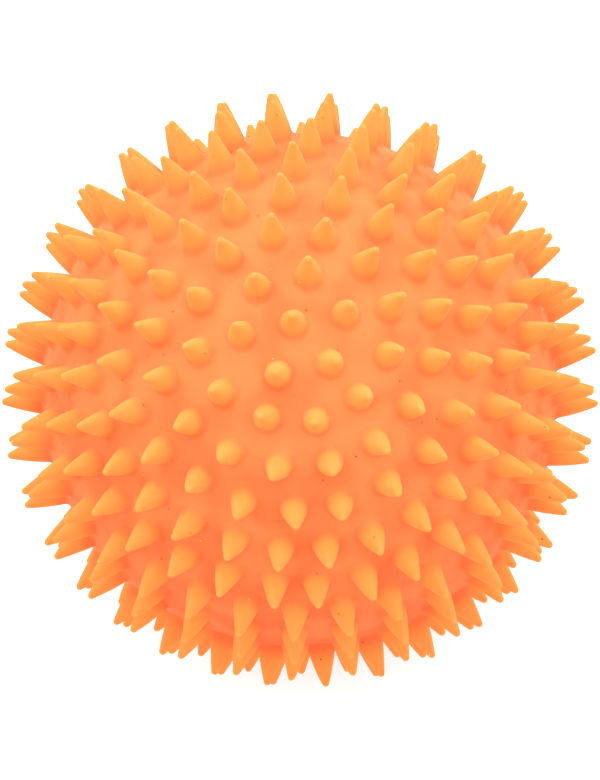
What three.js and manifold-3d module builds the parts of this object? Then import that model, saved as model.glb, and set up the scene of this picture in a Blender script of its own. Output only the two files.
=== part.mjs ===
// Soft hollow ball covered in blunt conical spikes, with a reed squeaker snapped into its lower pole.
// Millimetres, +Z up. The ball stands on z = 0, on the ring of spikes around the squeaker.

import * as THREE from 'three';
import { ConvexHull } from 'three/addons/math/ConvexHull.js';
import { mergeVertices } from 'three/addons/utils/BufferGeometryUtils.js';
import Module from 'manifold-3d';

// Ball skin
const BODY_DIAMETER = 103; // over the bare skin between the spikes
const WALL = 2.2;

// Spikes: blunt cones moulded in one with the skin
const SPIKE_HEIGHT = 8.5;
const ROOT_DIAMETER = 6.4;
const TIP_DIAMETER = 2;
const ROOT_LAND = 1; // least bare skin between two roots
const SPIKE_SIDES = 6;

// Rings of spikes about the upper pole spike, from the first ring to the equator
const RING_COUNTS = [6, 12, 17, 22, 28, 32, 33, 33, 33];
const FIRST_RING_ARC = 10.3; // along the skin, from the pole spike to the first ring
const START_MERIDIAN = 68; // degrees from +X, where every ring starts

// Flat seat with a round neck at the lower pole
const SEAT_DIAMETER = 22;
const NECK_WALL = 3;
const NECK_BORE = 12;

// Squeaker housing
const FLANGE_DIAMETER = 18;
const FLANGE_THICKNESS = 1.6;
const BARB_DIAMETER = 14;
const BARB_LENGTH = 2;
const BARREL_LENGTH = 14; // from the seat to the barrel's inner end
const BARREL_WALL = 1.5;
const FLOOR_THICKNESS = 2.9; // from the flange's outer face to the floor of the barrel
const SOUND_HOLE = 4;

// Tone board, reed and wedge inside the barrel
const TONE_BOARD_LENGTH = 11.5;
const CHANNEL_WIDTH = 2.4;
const CHANNEL_DEPTH = 1.8;
const CHANNEL_END = 1.6; // closed end of the channel, at the reed's tip
const REED_LENGTH = 10.6;
const REED_WIDTH = 3.6;
const REED_THICKNESS = 0.3;
const WEDGE_LENGTH = 4;

const CLEARANCE = 0.3; // between pieces that seat on each other
const ROUND_SEGMENTS = 32;
const CAVITY_ROWS = 14;

const AXIS_Y = new THREE.Vector3(0, 1, 0);
const AXIS_Z = new THREE.Vector3(0, 0, 1);

const bodyRadius = BODY_DIAMETER / 2;
const seatRadius = SEAT_DIAMETER / 2;
const seatZ = -Math.sqrt(bodyRadius ** 2 - seatRadius ** 2);
const barrelRadius = NECK_BORE / 2 - CLEARANCE;
const boreRadius = barrelRadius - BARREL_WALL;
const floorZ = FLOOR_THICKNESS - FLANGE_THICKNESS - CLEARANCE;

const wasm = await Module();
wasm.setup();

function toSolid(geometry) {
  const bare = geometry.clone();
  bare.deleteAttribute('normal');
  bare.deleteAttribute('uv');
  const merged = mergeVertices(bare);
  return new wasm.Manifold(new wasm.Mesh({
    numProp: 3,
    vertProperties: new Float32Array(merged.attributes.position.array),
    triVerts: new Uint32Array(merged.index.array),
  }));
}

function toGeometry(solid) {
  const mesh = solid.getMesh();
  const geometry = new THREE.BufferGeometry();
  geometry.setAttribute('position', new THREE.BufferAttribute(mesh.vertProperties, 3));
  geometry.setIndex(new THREE.BufferAttribute(mesh.triVerts, 1));
  geometry.computeVertexNormals();
  return geometry;
}

function piece(name, geometry, color, roughness) {
  const material = new THREE.MeshStandardMaterial({ color, roughness, metalness: 0 });
  const mesh = new THREE.Mesh(geometry, material);
  mesh.name = name;
  return mesh;
}

// Upright cylinder between two heights
function uprightCylinder(radius, bottom, top) {
  const cylinder = new THREE.CylinderGeometry(radius, radius, top - bottom, ROUND_SEGMENTS);
  return cylinder.rotateX(Math.PI / 2).translate(0, 0, (bottom + top) / 2);
}

// Solid of revolution about Z from [radius, height] corners that run round the section
function turned(corners) {
  const profile = [...corners, corners[0]].map(([r, z]) => new THREE.Vector2(r, z));
  return new THREE.LatheGeometry(profile, ROUND_SEGMENTS).rotateX(Math.PI / 2);
}

// Polar angle and azimuth of every spike on the upper half, the equator included
function upperSpikes() {
  const rootPitch = ROOT_DIAMETER + ROOT_LAND;
  const start = THREE.MathUtils.degToRad(START_MERIDIAN);
  const first = FIRST_RING_ARC / bodyRadius;
  const ringsThatFit = 1 + Math.floor((Math.PI / 2 - first) * bodyRadius / rootPitch);
  const rings = Math.min(RING_COUNTS.length, ringsThatFit);
  const pitch = (Math.PI / 2 - first) / (rings - 1);
  const spikes = [{ polar: 0, azimuth: 0 }];
  for (let ring = 0; ring < rings; ring++) {
    const polar = first + ring * pitch;
    const round = 2 * Math.PI * bodyRadius * Math.sin(polar);
    const count = Math.min(RING_COUNTS[ring], Math.floor(round / rootPitch));
    const step = 2 * Math.PI / count;
    for (let n = 0; n < count; n++) {
      spikes.push({ polar, azimuth: start + n * step });
    }
  }
  return spikes;
}

// The lower half mirrors the upper one, turned by half a step of the equator, and leaves the seat bare
function allSpikes() {
  const upper = upperSpikes();
  const equator = upper.filter((spike) => spike.polar === upper.at(-1).polar);
  const turn = Math.PI / equator.length;
  const clearOfSeat = (seatRadius + ROOT_LAND + ROOT_DIAMETER / 2) / bodyRadius;
  const lower = upper
    .filter((spike) => spike.polar > clearOfSeat && !equator.includes(spike))
    .map((spike) => ({ polar: Math.PI - spike.polar, azimuth: spike.azimuth + turn }));
  return [...upper, ...lower];
}

// Ring of points about a spike's axis, at a distance from the ball's centre, with a corner on the meridian
function spikeRing({ polar, azimuth }, distance, radius) {
  const points = [];
  for (let side = 0; side < SPIKE_SIDES; side++) {
    const angle = 2 * Math.PI * side / SPIKE_SIDES;
    const point = new THREE.Vector3(radius * Math.cos(angle), radius * Math.sin(angle), distance);
    points.push(point.applyAxisAngle(AXIS_Y, polar).applyAxisAngle(AXIS_Z, azimuth));
  }
  return points;
}

// Closed outer surface: the skin spans the roots, and each root carries its own blunt cone
function spikedSkin() {
  const rootRadius = ROOT_DIAMETER / 2;
  const rootDistance = Math.sqrt(bodyRadius ** 2 - rootRadius ** 2);
  const vertices = [];
  const triangles = [];
  const spikeOf = new Map();
  const place = new Map();
  const add = (point) => {
    place.set(point, vertices.length);
    vertices.push(point);
  };
  const roots = [];
  allSpikes().forEach((spike, number) => {
    const root = spikeRing(spike, rootDistance, rootRadius);
    const tip = spikeRing(spike, bodyRadius + SPIKE_HEIGHT, TIP_DIAMETER / 2);
    root.forEach((point) => spikeOf.set(point, number));
    [...root, ...tip].forEach(add);
    roots.push(...root);
    for (let side = 0; side < SPIKE_SIDES; side++) {
      const next = (side + 1) % SPIKE_SIDES;
      triangles.push([root[side], root[next], tip[next]], [root[side], tip[next], tip[side]]);
    }
    for (let side = 1; side < SPIKE_SIDES - 1; side++) {
      triangles.push([tip[0], tip[side], tip[side + 1]]);
    }
  });
  const seat = [];
  for (let n = 0; n < ROUND_SEGMENTS; n++) {
    const angle = 2 * Math.PI * n / ROUND_SEGMENTS;
    seat.push(new THREE.Vector3(seatRadius * Math.cos(angle), seatRadius * Math.sin(angle), seatZ));
  }
  seat.forEach(add);
  for (const face of new ConvexHull().setFromPoints([...roots, ...seat]).faces) {
    const corners = [0, 1, 2].map((corner) => face.getEdge(corner).head().point);
    const owners = new Set(corners.map((point) => spikeOf.get(point)));
    const underOneSpike = owners.size === 1 && !owners.has(undefined);
    if (!underOneSpike) {
      triangles.push(corners);
    }
  }
  const geometry = new THREE.BufferGeometry().setFromPoints(vertices);
  geometry.setIndex(triangles.flat().map((point) => place.get(point)));
  return geometry;
}

// Air chamber: a round hollow with a flat bottom over the neck
function airChamber() {
  const radius = bodyRadius - WALL;
  const round = new THREE.SphereGeometry(radius, ROUND_SEGMENTS, CAVITY_ROWS).rotateX(Math.PI / 2);
  const below = uprightCylinder(bodyRadius, -BODY_DIAMETER, seatZ + NECK_WALL);
  return toSolid(round).subtract(toSolid(below));
}

function spikedShell() {
  const neck = toSolid(uprightCylinder(NECK_BORE / 2, -BODY_DIAMETER, seatZ + 2 * NECK_WALL));
  return toGeometry(toSolid(spikedSkin()).subtract(airChamber()).subtract(neck));
}

// Squeaker pieces stand on the seat plane, z = 0, and reach up into the ball.
// The flange and the barb hold the neck's wall between them.
function squeakerHousing() {
  const flangeTop = -CLEARANCE;
  const flangeBottom = flangeTop - FLANGE_THICKNESS;
  const barbBottom = NECK_WALL + CLEARANCE;
  return turned([
    [SOUND_HOLE / 2, flangeBottom],
    [FLANGE_DIAMETER / 2, flangeBottom],
    [FLANGE_DIAMETER / 2, flangeTop],
    [barrelRadius, flangeTop],
    [barrelRadius, barbBottom],
    [BARB_DIAMETER / 2, barbBottom],
    [barrelRadius, barbBottom + BARB_LENGTH],
    [barrelRadius, BARREL_LENGTH],
    [boreRadius, BARREL_LENGTH],
    [boreRadius, floorZ],
    [SOUND_HOLE / 2, floorZ],
  ]);
}

// Upright bar whose section is the part of the bore's circle beyond a flat, on the -Y side
function boreSegment(length) {
  const radius = boreRadius - CLEARANCE;
  const flat = REED_THICKNESS / 2 + CLEARANCE;
  const half = Math.acos(flat / radius);
  const section = new THREE.Shape();
  section.absarc(0, 0, radius, -Math.PI / 2 - half, -Math.PI / 2 + half, false);
  section.closePath();
  const bar = new THREE.ExtrudeGeometry(section, {
    depth: length,
    bevelEnabled: false,
    curveSegments: ROUND_SEGMENTS / 2,
  });
  return bar.translate(0, 0, floorZ + CLEARANCE);
}

// The channel leads from under the reed to the sound hole, and is shut at the reed's tip
function toneBoard() {
  const bottom = floorZ + CLEARANCE;
  const top = bottom + TONE_BOARD_LENGTH - CHANNEL_END;
  const flat = REED_THICKNESS / 2 + CLEARANCE;
  const channel = new THREE.BoxGeometry(CHANNEL_WIDTH, 2 * CHANNEL_DEPTH, 2 * (top - bottom));
  channel.translate(0, -flat, bottom);
  return toGeometry(toSolid(boreSegment(TONE_BOARD_LENGTH)).subtract(toSolid(channel)));
}

// Thin tongue with a round tip, lying between the tone board and the wedge
function reed() {
  const half = REED_WIDTH / 2;
  const outline = new THREE.Shape();
  outline.moveTo(-half, 0);
  outline.lineTo(half, 0);
  outline.lineTo(half, REED_LENGTH - half);
  outline.absarc(0, REED_LENGTH - half, half, 0, Math.PI, false);
  outline.closePath();
  const strip = new THREE.ExtrudeGeometry(outline, {
    depth: REED_THICKNESS,
    bevelEnabled: false,
    curveSegments: ROUND_SEGMENTS / 2,
  });
  strip.rotateX(Math.PI / 2);
  return strip.translate(0, REED_THICKNESS / 2, floorZ + CLEARANCE);
}

function squeaker() {
  const group = new THREE.Group();
  group.add(
    piece('squeaker_housing', squeakerHousing(), 0xf1efe8, 0.45),
    piece('tone_board', toneBoard(), 0xf1efe8, 0.5),
    piece('reed', reed(), 0xe8e2d0, 0.35),
    piece('reed_wedge', boreSegment(WEDGE_LENGTH).rotateZ(Math.PI), 0xf1efe8, 0.5),
  );
  group.position.z = seatZ;
  return group;
}

const ball = new THREE.Group();
const shell = piece('spiked_shell', spikedShell(), 0xfe9b58, 0.5);
ball.add(shell, squeaker());
shell.geometry.computeBoundingBox();
ball.position.z = -shell.geometry.boundingBox.min.z;

export default ball;
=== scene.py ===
"""Looks of the spiky ball: its soft vinyl skin with round spikes, its squeaker, the studio and the camera.

Sizes are in millimetres and are turned into metres where vertices are made.
"""
import math
import random

import bpy
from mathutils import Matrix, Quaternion, Vector, noise
from mathutils.geometry import delaunay_2d_cdt


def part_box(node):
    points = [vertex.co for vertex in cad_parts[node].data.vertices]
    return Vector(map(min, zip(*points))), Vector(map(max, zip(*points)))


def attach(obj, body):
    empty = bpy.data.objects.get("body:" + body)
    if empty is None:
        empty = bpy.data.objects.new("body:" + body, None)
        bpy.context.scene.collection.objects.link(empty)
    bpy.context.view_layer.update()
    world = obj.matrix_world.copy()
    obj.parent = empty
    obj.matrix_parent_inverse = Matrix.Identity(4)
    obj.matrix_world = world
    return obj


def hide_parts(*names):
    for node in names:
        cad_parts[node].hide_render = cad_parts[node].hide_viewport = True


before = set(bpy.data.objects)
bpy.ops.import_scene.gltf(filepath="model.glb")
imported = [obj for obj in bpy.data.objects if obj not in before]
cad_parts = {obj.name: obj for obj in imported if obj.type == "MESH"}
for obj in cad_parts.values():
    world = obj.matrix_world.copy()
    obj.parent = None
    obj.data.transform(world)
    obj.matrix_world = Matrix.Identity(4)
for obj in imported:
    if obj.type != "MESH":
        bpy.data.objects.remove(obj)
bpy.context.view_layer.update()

MM = 0.001

# Ball skin and spikes
BODY_RADIUS = 51.5
WALL = 2.2
SPIKE_HEIGHT = 8.5
SPIKE_ROOT_RADIUS = 3.0
SPIKE_TIP_RADIUS = 0.72
FLANK_BULGE = 0.14  # how far the flank stands out halfway up
ROOT_FILLET = 1.1
ROOT_LAND = 1.0  # bare skin between the seat and the nearest spikes
SPIKE_SIDES = 16
FILLET_STEPS = 5
FLANK_STEPS = 4
TIP_STEPS = 4

# Rings of spikes about the upper pole spike, from the first ring to the equator
RING_COUNTS = [6, 12, 17, 22, 28, 32, 33, 33, 33]
FIRST_RING_ARC = 10.3
START_MERIDIAN = math.radians(68)

# Unevenness of the soft moulding
SEED = 7
SPIKE_SHIFT = 0.2
SPIKE_LEAN = 0.36
LEAN_POWER = 1.5  # a spike bends most towards its tip
SPIKE_SHORTEN = 0.25
LEAST_RING_RADIUS = 0.2  # of the ball's radius, where a shift turns into an angle about the axis
DENT_DEPTH = 0.16
DENT_SPACING = 11.0
FINE_DENT_SHARE = 0.5
FINE_DENT_SPACING = 0.45 * DENT_SPACING
FINE_DENT_PLACE = Vector((9, 4, 2))

# Seat and neck at the lower pole, and the air chamber
SEAT_RADIUS = 11.0
SEAT_SIDES = 96
NECK_RADIUS = 6.0
NECK_WALL = 3.0
EDGE = 0.4
EDGE_MIDDLE = 0.3 * EDGE
CAVITY_ROWS = 40

# Bare skin between the spikes
SKIN_SPACING = 1.7
FILLET_MARGIN = 0.4 * SKIN_SPACING
SEAT_MARGIN = 0.3 * SKIN_SPACING
NEAR_HEIGHT = 0.2  # of the ball's radius: roots further up or down can't be close
MERGE_DISTANCE = 1e-7

# Squeaker insert
FLANGE_RADIUS = 9.0
FLANGE_THICKNESS = 1.6
BARB_RADIUS = 7.0
BARB_LENGTH = 2.0
BARREL_LENGTH = 14.0
BARREL_WALL = 1.5
HOUSING_FLOOR = 2.9
SOUND_HOLE_RADIUS = 2.0
CLEARANCE = 0.3
INSERT_SIDES = 72
INSERT_EDGE = 0.5 * EDGE
MOST_OF_A_SIDE = 0.4

# Colours
SKIN_ORANGE = (1.0, 0.163, 0.051, 1)
SKIN_PALE = (1.0, 0.203, 0.065, 1)
# Spikes painted paler than the skin: painted light glowing through them, with painted shade where they fade
# into the skin
SPIKE_PAINTED_GLOW = (1.0, 0.262, 0.062, 1)
# Tips painted a little darker than the spikes: painted shade against the brighter light at the tips
TIP_PAINTED_SHADE = (1.0, 0.235, 0.056, 1)
DARK_SPECK = (0.18, 0.035, 0.01, 1)
PALE_SPECK = (0.98, 0.62, 0.30, 1)
PLASTIC_PALE = (0.84, 0.83, 0.79, 1)
PLASTIC_DULL = (0.78, 0.77, 0.72, 1)
FILM_PALE = (0.72, 0.66, 0.5, 1)
FILM_DULL = (0.66, 0.6, 0.44, 1)

# Camera: the pole spike shows above the middle of the picture, a little to the left
PICTURE_WIDTH = 600
PICTURE_HEIGHT = 780
TIP_CIRCLE_PIXELS = 299.5
BALL_CENTRE_PIXEL = (299.6, 389.6)
CAMERA_ELEVATION = math.radians(75.6)
CAMERA_ROLL = math.radians(5.0)
CAMERA_DISTANCE = 2400.0
CAMERA_SIGHT = 100000.0
SENSOR = 36.0

# Light: an all-round soft tent, brightest high up behind the ball
SKY_BRIGHTEST = (0.05, 0.48, 0.876)
SKY_STRENGTH = 1.3
SKY_SLOPE = 1.75
SKY_LEAST = 0.65

# Studio floor: painted whiter round the ball, a painted pool of light over the ball's shadow, and greyer
# further off
FLOOR_REACH = 6000.0
FLOOR_PAINTED_LIGHT_WHITE = (0.86, 0.86, 0.86, 1)
FLOOR_GREY = (0.46, 0.46, 0.46, 1)
FLOOR_FADE_START = 72.0
FLOOR_FADE_END = 140.0

# Sockets of a Mix node that mixes colours
MIX_SHARE, MIX_FIRST, MIX_SECOND, MIX_RESULT = 0, 6, 7, 2

tip_distance = BODY_RADIUS + SPIKE_HEIGHT
shell_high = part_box("spiked_shell")[1]
ball_centre = Vector((0.0, 0.0, shell_high.z - tip_distance * MM))
seat_z = -math.sqrt(BODY_RADIUS ** 2 - SEAT_RADIUS ** 2)


class Surface:
    """A mesh in the making: points in millimetres about the ball's centre, and faces between them."""

    def __init__(self):
        self.points = []
        self.heights = []  # of each point, as a share of its spike's height
        self.faces = []

    def add(self, point, height=0.0):
        self.points.append(point)
        self.heights.append(height)
        return len(self.points) - 1

    def circle(self, radius, z, sides):
        """Level ring about the upright axis."""
        angles = [2 * math.pi * side / sides for side in range(sides)]
        return [self.add(Vector((radius * math.cos(angle), radius * math.sin(angle), z))) for angle in angles]

    def band(self, below, above):
        """Quads between two rings."""
        for side in range(len(below)):
            after = (side + 1) % len(below)
            self.faces.append((below[side], below[after], above[after], above[side]))

    def cap(self, ring, tip):
        """Triangles from a ring to one point."""
        for side in range(len(ring)):
            self.faces.append((ring[side], ring[(side + 1) % len(ring)], tip))

    def object(self, name):
        mesh = bpy.data.meshes.new(name)
        mesh.from_pydata([ball_centre + point * MM for point in self.points], [], self.faces)
        mesh.validate()
        mesh.shade_smooth()
        obj = bpy.data.objects.new(name, mesh)
        bpy.context.scene.collection.objects.link(obj)
        return obj


def direction(polar, azimuth):
    return Vector((math.sin(polar) * math.cos(azimuth), math.sin(polar) * math.sin(azimuth), math.cos(polar)))


def upper_spikes():
    """Polar angle and azimuth of each spike on the upper half, the equator included."""
    first = FIRST_RING_ARC / BODY_RADIUS
    pitch = (math.pi / 2 - first) / (len(RING_COUNTS) - 1)
    spikes = [(0.0, 0.0)]
    for ring, count in enumerate(RING_COUNTS):
        step = 2 * math.pi / count
        spikes += [(first + ring * pitch, START_MERIDIAN + n * step) for n in range(count)]
    return spikes


def all_spikes():
    """The lower half mirrors the upper, turned by half a step of the equator, and leaves the seat bare."""
    upper = upper_spikes()
    turn = math.pi / RING_COUNTS[-1]
    clear_of_seat = (SEAT_RADIUS + ROOT_LAND + SPIKE_ROOT_RADIUS) / BODY_RADIUS
    above_equator = upper[:-RING_COUNTS[-1]]
    lower = [(math.pi - polar, azimuth + turn) for polar, azimuth in above_equator if polar > clear_of_seat]
    return upper + lower


def spike_profile():
    """[radius, height over the skin] from the fillet's outer edge up to the tip's round."""
    slope = math.atan2(SPIKE_ROOT_RADIUS - SPIKE_TIP_RADIUS, SPIKE_HEIGHT - SPIKE_TIP_RADIUS)
    tip_height = SPIKE_HEIGHT - SPIKE_TIP_RADIUS
    top = (SPIKE_TIP_RADIUS * math.cos(slope), tip_height + SPIKE_TIP_RADIUS * math.sin(slope))
    run = (top[1] - ROOT_FILLET * (1 - math.sin(slope))) / math.cos(slope)
    centre = top[0] + run * math.sin(slope) + ROOT_FILLET * math.cos(slope)
    rows = []
    for step in range(FILLET_STEPS + 1):
        angle = 1.5 * math.pi - (math.pi / 2 - slope) * step / FILLET_STEPS
        rows.append((centre + ROOT_FILLET * math.cos(angle), ROOT_FILLET * (1 + math.sin(angle))))
    root = rows[-1]
    for step in range(1, FLANK_STEPS):
        part = step / FLANK_STEPS
        bulge = FLANK_BULGE * 4 * part * (1 - part)
        rows.append((root[0] + (top[0] - root[0]) * part + bulge, root[1] + (top[1] - root[1]) * part))
    for step in range(TIP_STEPS):
        angle = slope + (math.pi / 2 - slope) * step / TIP_STEPS
        rows.append((SPIKE_TIP_RADIUS * math.cos(angle), tip_height + SPIKE_TIP_RADIUS * math.sin(angle)))
    return rows


def dented(point):
    """The soft skin waves a little in and out."""
    wide = noise.noise(point / DENT_SPACING)
    fine = noise.noise(point / FINE_DENT_SPACING + FINE_DENT_PLACE)
    return point + point.normalized() * ((wide + FINE_DENT_SHARE * fine) * DENT_DEPTH)


def flat_place(point):
    """Place on the plane of a direction from the ball's centre, seen from the lower pole."""
    unit = point.normalized()
    return Vector((unit.x, unit.y)) / (1 + unit.z)


def skin_filling(roots, reach):
    """Evenly spread points on the bare skin, clear of the spikes' fillets and of the seat."""
    count = round(4 * math.pi * BODY_RADIUS ** 2 / SKIN_SPACING ** 2)
    golden = math.pi * (3 - math.sqrt(5))
    limit = math.cos((reach + FILLET_MARGIN) / BODY_RADIUS)
    lowest = (seat_z + SEAT_MARGIN) / BODY_RADIUS
    points = []
    for n in range(count):
        z = 1 - 2 * (n + 0.5) / count
        if z < lowest:
            continue
        unit = direction(math.acos(z), n * golden)
        near = [root for root in roots if root[2] - NEAR_HEIGHT < z < root[2] + NEAR_HEIGHT]
        if all(unit.x * x + unit.y * y + z * w < limit for x, y, w in near):
            points.append(unit * BODY_RADIUS)
    return points


def add_spike(surface, polar, azimuth, profile, rng):
    """One round spike, a little uneven. Returns the direction it grows in and the ring round its root."""
    polar += rng.gauss(0, SPIKE_SHIFT) / BODY_RADIUS
    azimuth += rng.gauss(0, SPIKE_SHIFT) / (BODY_RADIUS * max(math.sin(polar), LEAST_RING_RADIUS))
    lean = Vector((rng.gauss(0, SPIKE_LEAN), rng.gauss(0, SPIKE_LEAN)))
    tall = 1 - abs(rng.gauss(0, SPIKE_SHORTEN)) / SPIKE_HEIGHT
    axis = direction(polar, azimuth)
    along = direction(polar + math.pi / 2, azimuth)
    across = axis.cross(along)
    rows = []
    for radius, height in profile:
        share = height / SPIKE_HEIGHT
        distance = BODY_RADIUS + height * tall
        middle = axis * math.sqrt(distance ** 2 - radius ** 2)
        middle = middle + (along * lean.x + across * lean.y) * share ** LEAN_POWER
        row = []
        for side in range(SPIKE_SIDES):
            angle = 2 * math.pi * side / SPIKE_SIDES
            outward = along * math.cos(angle) + across * math.sin(angle)
            row.append(surface.add(middle + outward * radius, share))
        if rows:
            surface.band(rows[-1], row)
        rows.append(row)
    end = axis * (BODY_RADIUS + SPIKE_HEIGHT * tall) + along * lean.x + across * lean.y
    surface.cap(rows[-1], surface.add(end, 1.0))
    return tuple(axis), rows[0]


def join_skin(surface, rings, seat, skin):
    """Triangles of the bare skin between the rings round the spikes' roots and the seat's edge."""
    owner = {index: number for number, ring in enumerate(rings) for index in ring}
    outline = [index for ring in rings for index in ring] + seat + skin
    place = {index: n for n, index in enumerate(outline)}
    loops = [[place[index] for index in ring] for ring in rings + [seat]]
    edges = [(loop[n], loop[(n + 1) % len(loop)]) for loop in loops for n in range(len(loop))]
    flat = [flat_place(surface.points[index]) for index in outline]
    _, _, triangles, sources, _, _ = delaunay_2d_cdt(flat, edges, [], 0, MERGE_DISTANCE)
    for triangle in triangles:
        corners = [outline[sources[corner][0]] for corner in triangle]
        owners = {owner.get(corner) for corner in corners}
        if len(owners) > 1 or None in owners:
            surface.faces.append(tuple(corners))


def line_inside(surface, seat):
    """The seat's face, the neck and the wall of the air chamber."""
    inner = BODY_RADIUS - WALL
    lip = seat_z + NECK_WALL
    section = [
        (NECK_RADIUS + EDGE, seat_z),
        (NECK_RADIUS + EDGE_MIDDLE, seat_z + EDGE_MIDDLE),
        (NECK_RADIUS, seat_z + EDGE),
        (NECK_RADIUS, lip - EDGE),
        (NECK_RADIUS + EDGE_MIDDLE, lip - EDGE_MIDDLE),
        (NECK_RADIUS + EDGE, lip),
    ]
    start = math.acos(lip / inner)
    for row in range(CAVITY_ROWS):
        polar = start * (1 - row / CAVITY_ROWS)
        section.append((inner * math.sin(polar), inner * math.cos(polar)))
    below = seat
    for radius, z in section:
        row = surface.circle(radius, z, SEAT_SIDES)
        surface.band(row, below)
        below = row
    surface.cap(below[::-1], surface.add(Vector((0, 0, inner))))


def vinyl_shell():
    """One closed skin: round filleted spikes outside, the seat, the neck and the air chamber inside."""
    rng = random.Random(SEED)
    profile = spike_profile()
    surface = Surface()
    spikes = [add_spike(surface, polar, azimuth, profile, rng) for polar, azimuth in all_spikes()]
    roots = [root for root, _ in spikes]
    rings = [ring for _, ring in spikes]
    seat = surface.circle(SEAT_RADIUS, seat_z, SEAT_SIDES)
    skin = [surface.add(point) for point in skin_filling(roots, profile[0][0])]
    join_skin(surface, rings, seat, skin)
    line_inside(surface, seat)
    surface.points = [dented(point) for point in surface.points]
    obj = surface.object("vinyl_shell")
    attribute = obj.data.attributes.new("spike_height", "FLOAT", "POINT")
    attribute.data.foreach_set("value", surface.heights)
    return obj


def squeaker_insert():
    """The housing with its edges rounded: flange, barb, barrel, bore and sound hole."""
    barrel = NECK_RADIUS - CLEARANCE
    bore = barrel - BARREL_WALL
    top = -CLEARANCE
    bottom = top - FLANGE_THICKNESS
    barb = NECK_WALL + CLEARANCE
    floor = bottom + HOUSING_FLOOR
    corners = [
        (SOUND_HOLE_RADIUS, bottom),
        (FLANGE_RADIUS, bottom),
        (FLANGE_RADIUS, top),
        (barrel, top),
        (barrel, barb),
        (BARB_RADIUS, barb),
        (barrel, barb + BARB_LENGTH),
        (barrel, BARREL_LENGTH),
        (bore, BARREL_LENGTH),
        (bore, floor),
        (SOUND_HOLE_RADIUS, floor),
    ]
    surface = Surface()
    rows = []
    for n, corner in enumerate(corners):
        here = Vector(corner)
        for other in (corners[n - 1], corners[(n + 1) % len(corners)]):
            towards = Vector(other) - here
            radius, z = here + towards.normalized() * min(INSERT_EDGE, MOST_OF_A_SIDE * towards.length)
            rows.append(surface.circle(radius, seat_z + z, INSERT_SIDES))
    for n, row in enumerate(rows):
        surface.band(row, rows[(n + 1) % len(rows)])
    return surface.object("squeaker_insert")


class Nodes:
    """A material's node tree, with short ways to add and join nodes."""

    def __init__(self, name):
        self.material = bpy.data.materials.new(name)
        self.material.use_nodes = True
        self.tree = self.material.node_tree
        self.shader = self.tree.nodes["Principled BSDF"]

    def add(self, kind, settings=(), **inputs):
        node = self.tree.nodes.new(kind)
        for key, value in dict(settings).items():
            setattr(node, key, value)
        for key, value in inputs.items():
            self.feed(node.inputs[key.replace("_", " ")], value)
        return node

    def feed(self, socket, value):
        if isinstance(value, bpy.types.NodeSocket):
            self.tree.links.new(value, socket)
        else:
            socket.default_value = value

    def math(self, operation, a, b):
        node = self.tree.nodes.new("ShaderNodeMath")
        node.operation = operation
        self.feed(node.inputs[0], a)
        self.feed(node.inputs[1], b)
        return node.outputs[0]

    def remap(self, value, low, high, to_low=0.0, to_high=1.0):
        node = self.add("ShaderNodeMapRange", {"interpolation_type": "SMOOTHSTEP"}, Value=value)
        node.inputs["From Min"].default_value = low
        node.inputs["From Max"].default_value = high
        node.inputs["To Min"].default_value = to_low
        node.inputs["To Max"].default_value = to_high
        return node.outputs[0]

    def mix(self, share, a, b):
        node = self.tree.nodes.new("ShaderNodeMix")
        node.data_type = "RGBA"
        self.feed(node.inputs[MIX_SHARE], share)
        self.feed(node.inputs[MIX_FIRST], a)
        self.feed(node.inputs[MIX_SECOND], b)
        return node.outputs[MIX_RESULT]

    def place(self):
        return self.add("ShaderNodeTexCoord").outputs["Object"]

    def noise(self, spacing, detail=2.0):
        scale = 1 / (spacing * MM)
        return self.add("ShaderNodeTexNoise", Vector=self.place(), Scale=scale, Detail=detail).outputs[0]

    def specks(self, spacing, radius, share):
        """Small round specks of uneven strength in some of the cells of that spacing, and 0 elsewhere."""
        cells = self.add("ShaderNodeTexVoronoi", Vector=self.place(), Scale=1 / (spacing * MM))
        chance = self.add("ShaderNodeSeparateColor", Color=cells.outputs["Color"])
        small = self.math("LESS_THAN", cells.outputs["Distance"], radius / spacing)
        chosen = self.math("LESS_THAN", chance.outputs[0], share)
        strength = self.remap(chance.outputs[1], low=0.0, high=1.0, to_low=0.35, to_high=1.0)
        return self.math("MULTIPLY", self.math("MULTIPLY", small, chosen), strength)

    def set(self, **values):
        for key, value in values.items():
            self.feed(self.shader.inputs[key.replace("_", " ")], value)

    def bump(self, height, depth, strength):
        node = self.add("ShaderNodeBump", Height=height, Distance=depth * MM, Strength=strength)
        self.set(Normal=node.outputs[0])


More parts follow.
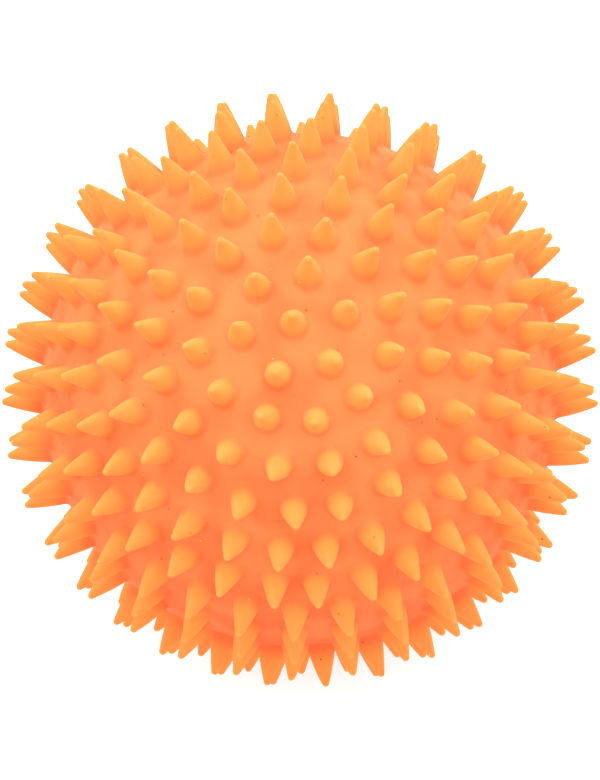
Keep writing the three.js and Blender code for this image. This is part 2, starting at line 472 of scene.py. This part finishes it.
def vinyl():
    """Satin orange vinyl, clouded, with a few specks. The spikes are more translucent and are painted paler:
    painted light glowing through them, with painted shade where they fade into the skin at their roots and
    painted shade at their tips.
    """
    nodes = Nodes("soft_orange_vinyl")
    height = nodes.add("ShaderNodeAttribute", {"attribute_name": "spike_height"}).outputs["Fac"]
    clouds = nodes.remap(nodes.noise(spacing=9.0, detail=1.0), low=0.36, high=0.64)
    colour = nodes.mix(clouds, SKIN_ORANGE, SKIN_PALE)
    # Painted light and shade: paler colour up the spikes for light glowing through them, fading to the skin's
    # colour at the roots as painted shade
    colour = nodes.mix(nodes.remap(height, low=0.0, high=0.42), colour, SPIKE_PAINTED_GLOW)
    # Painted shade: the tips darken towards their ends against the brighter light there
    colour = nodes.mix(nodes.remap(height, low=0.5, high=1.0), colour, TIP_PAINTED_SHADE)
    colour = nodes.mix(nodes.specks(spacing=3.6, radius=0.2, share=0.9), colour, DARK_SPECK)
    colour = nodes.mix(nodes.specks(spacing=4.8, radius=0.17, share=0.45), colour, PALE_SPECK)
    nodes.set(
        Base_Color=colour,
        Roughness=nodes.remap(nodes.noise(spacing=2.0), low=0.3, high=0.7, to_low=0.5, to_high=0.62),
        Subsurface_Weight=nodes.remap(height, low=0.0, high=0.5, to_low=0.4, to_high=0.9),
        Subsurface_Radius=(1.0, 0.5, 0.4),
        Subsurface_Scale=3.0 * MM,
        Specular_IOR_Level=0.02,
    )
    nodes.bump(nodes.noise(spacing=0.35), depth=0.02, strength=0.3)
    return nodes.material


def moulded_plastic(name, pale, dull, roughness, spread=0.06):
    """Satin moulding with faint flow marks."""
    nodes = Nodes(name)
    marks = nodes.remap(nodes.noise(spacing=3.0), low=0.35, high=0.65)
    grain = nodes.noise(spacing=1.2)
    smoothest, roughest = roughness - spread, roughness + spread
    nodes.set(
        Base_Color=nodes.mix(marks, pale, dull),
        Roughness=nodes.remap(grain, low=0.3, high=0.7, to_low=smoothest, to_high=roughest),
    )
    nodes.bump(nodes.noise(spacing=0.3), depth=0.01, strength=0.25)
    return nodes.material


def dress(obj, material):
    obj.data.materials.clear()
    obj.data.materials.append(material)


def studio_floor():
    """Wide pale floor under the ball, painted whiter round the ball as a painted pool of light over its
    shadow, and greyer further off.
    """
    half = FLOOR_REACH * MM
    mesh = bpy.data.meshes.new("studio_floor")
    corners = [(-half, -half, 0), (half, -half, 0), (half, half, 0), (-half, half, 0)]
    mesh.from_pydata(corners, [], [(0, 1, 2, 3)])
    floor = bpy.data.objects.new("studio_floor", mesh)
    bpy.context.scene.collection.objects.link(floor)
    nodes = Nodes("pale_floor")
    away = nodes.add("ShaderNodeVectorMath", {"operation": "LENGTH"}, Vector=nodes.place()).outputs["Value"]
    # Painted light: the floor's colour is whiter near the ball, a painted pool of light over its shadow
    fade = nodes.remap(away, FLOOR_FADE_START * MM, FLOOR_FADE_END * MM)
    nodes.set(Base_Color=nodes.mix(fade, FLOOR_PAINTED_LIGHT_WHITE, FLOOR_GREY), Roughness=0.9)
    dress(floor, nodes.material)


def studio():
    """Soft light from all round, stronger from one side of the sky than from the other."""
    scene = bpy.context.scene
    scene.view_settings.view_transform = "Standard"
    world = bpy.data.worlds.new("studio_white")
    world.use_nodes = True
    tree = world.node_tree
    place = tree.nodes.new("ShaderNodeTexCoord")
    towards = tree.nodes.new("ShaderNodeVectorMath")
    towards.operation = "DOT_PRODUCT"
    towards.inputs[1].default_value = SKY_BRIGHTEST
    tree.links.new(place.outputs["Generated"], towards.inputs[0])
    strength = tree.nodes.new("ShaderNodeMath")
    strength.operation = "MULTIPLY_ADD"
    strength.inputs[1].default_value = SKY_SLOPE
    strength.inputs[2].default_value = SKY_STRENGTH
    tree.links.new(towards.outputs["Value"], strength.inputs[0])
    least = tree.nodes.new("ShaderNodeMath")
    least.operation = "MAXIMUM"
    least.inputs[1].default_value = SKY_LEAST
    tree.links.new(strength.outputs[0], least.inputs[0])
    tree.links.new(least.outputs[0], tree.nodes["Background"].inputs["Strength"])
    tree.nodes["Background"].inputs["Color"].default_value = (1, 1, 1, 1)
    scene.world = world


def camera():
    """Looks down on the ball at the photograph's angle."""
    data = bpy.data.cameras.new("camera")
    data.sensor_width = SENSOR
    focal_pixels = TIP_CIRCLE_PIXELS * math.sqrt((CAMERA_DISTANCE / tip_distance) ** 2 - 1)
    data.lens = focal_pixels * SENSOR / PICTURE_HEIGHT
    data.shift_x = (PICTURE_WIDTH / 2 - BALL_CENTRE_PIXEL[0]) / PICTURE_HEIGHT
    data.shift_y = (BALL_CENTRE_PIXEL[1] - PICTURE_HEIGHT / 2) / PICTURE_HEIGHT
    data.clip_end = CAMERA_SIGHT * MM
    obj = bpy.data.objects.new("camera", data)
    back = Vector((0, -math.cos(CAMERA_ELEVATION), math.sin(CAMERA_ELEVATION)))
    obj.location = ball_centre + back * CAMERA_DISTANCE * MM
    obj.rotation_mode = "QUATERNION"
    facing = (-back).to_track_quat("-Z", "Y")
    obj.rotation_quaternion = facing @ Quaternion((0, 0, 1), -CAMERA_ROLL)
    bpy.context.scene.collection.objects.link(obj)
    bpy.context.scene.camera = obj


camera()
studio()
studio_floor()

shell = vinyl_shell()
dress(shell, vinyl())
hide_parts("spiked_shell")
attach(shell, "ball")

white_plastic = moulded_plastic("white_plastic", PLASTIC_PALE, PLASTIC_DULL, roughness=0.45)
insert = squeaker_insert()
dress(insert, white_plastic)
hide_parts("squeaker_housing")
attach(insert, "ball")

for node in ("tone_board", "reed_wedge"):
    dress(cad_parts[node], white_plastic)
dress(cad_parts["reed"], moulded_plastic("reed_film", FILM_PALE, FILM_DULL, roughness=0.3))
